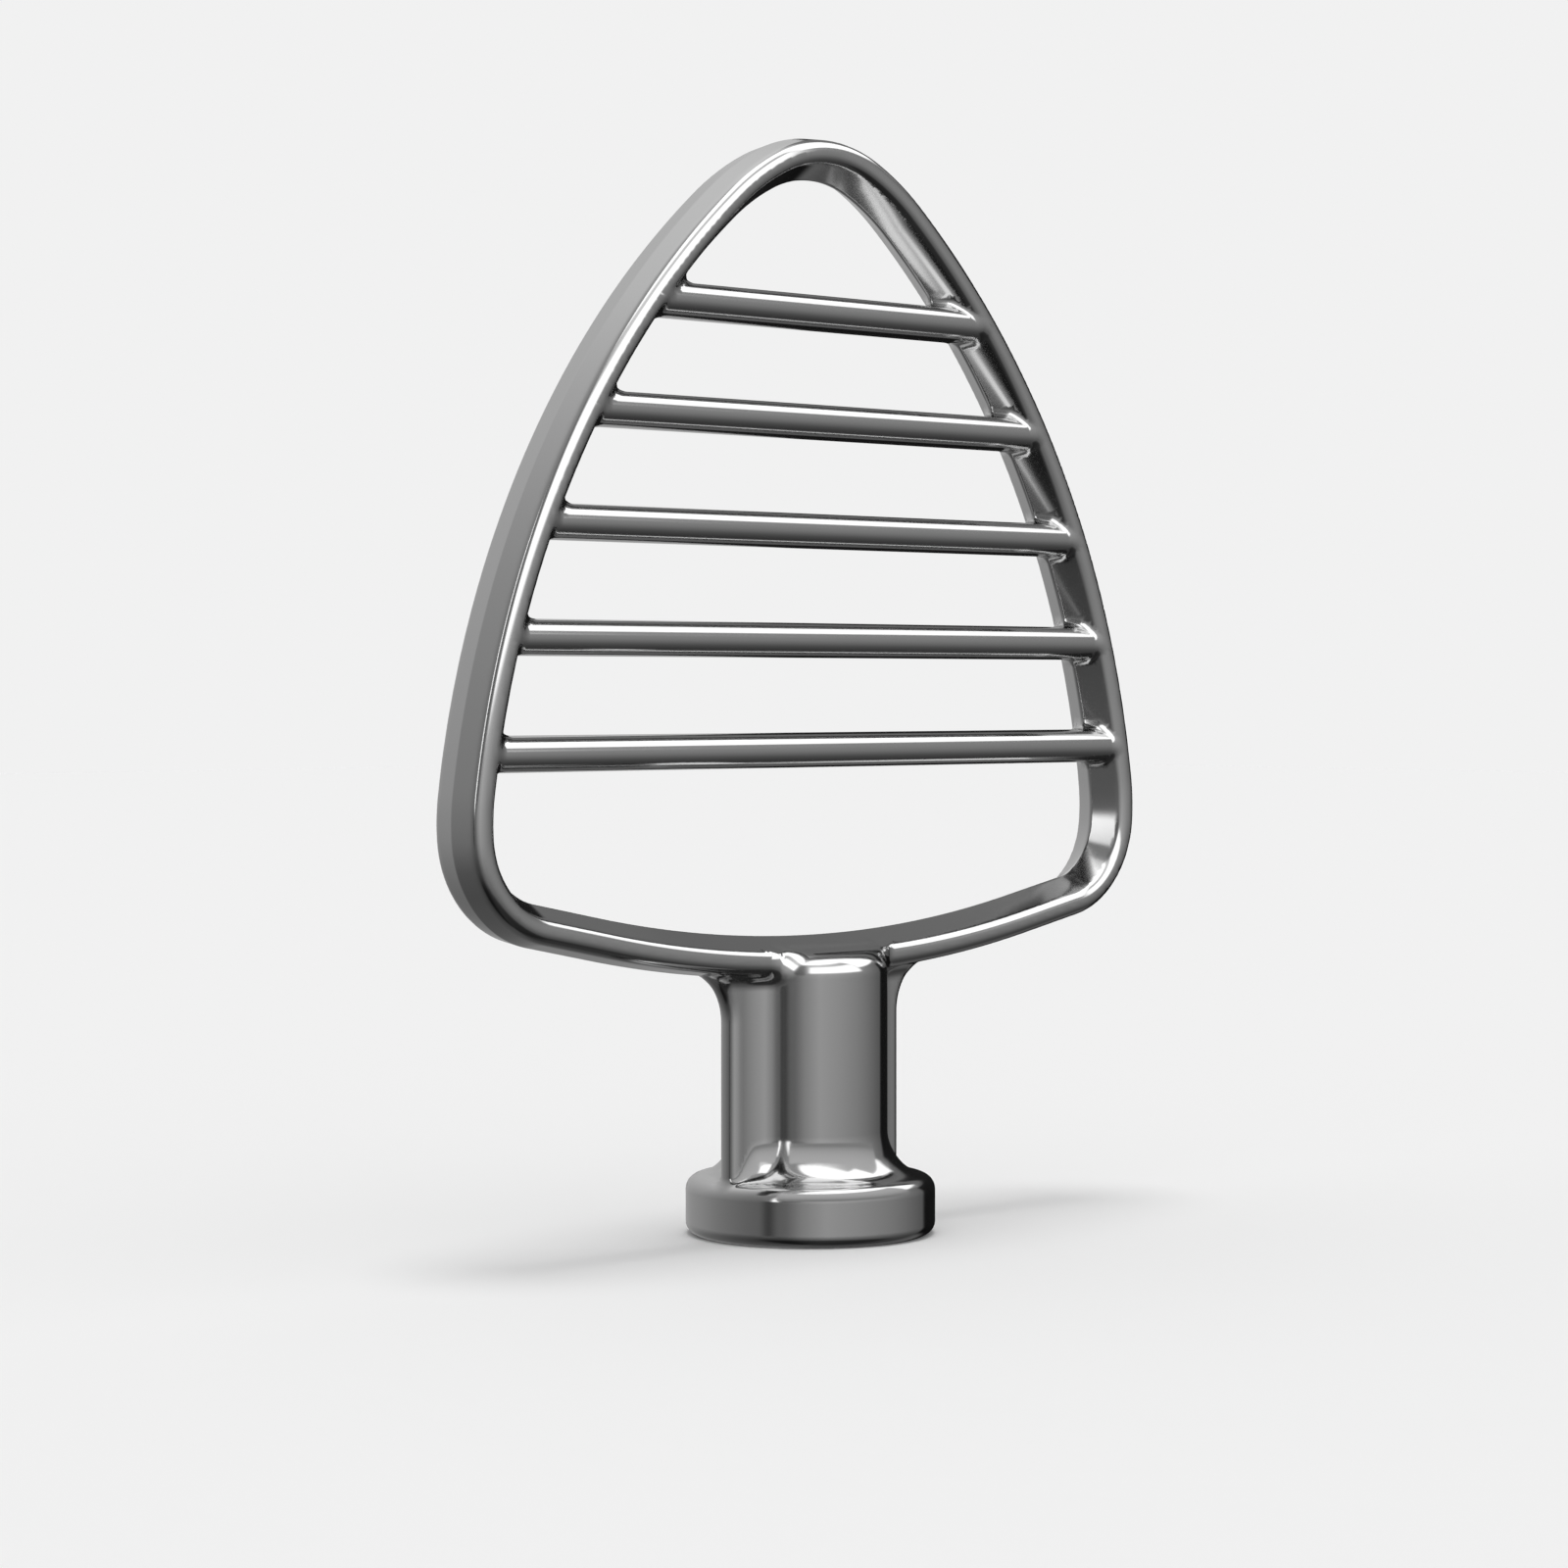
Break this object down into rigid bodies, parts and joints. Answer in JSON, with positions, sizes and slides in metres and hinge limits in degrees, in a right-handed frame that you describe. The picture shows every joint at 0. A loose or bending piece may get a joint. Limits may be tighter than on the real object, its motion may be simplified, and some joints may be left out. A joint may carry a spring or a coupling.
{
  "type": "stand mixer pastry beater",
  "caption": "One-piece cast steel pastry beater for a stand mixer: leaf-shaped hoop with cross bars, column stem with side fins, and a collar with a blind shaft bore.",
  "frame": {"origin": "centre of the collar's end face, on the axis of the shaft bore", "axes": "+Z along the stem towards the tip of the hoop, X across the hoop along its bars, Y through the hoop's thickness with the pin slot on the +Y side"},
  "size_m": [0.1486, 0.04, 0.1757],
  "materials": {
    "steel": "polished"
  },
  "bodies": {
    "root": {"pastry_beater": "steel"}
  },
  "joints": []
}
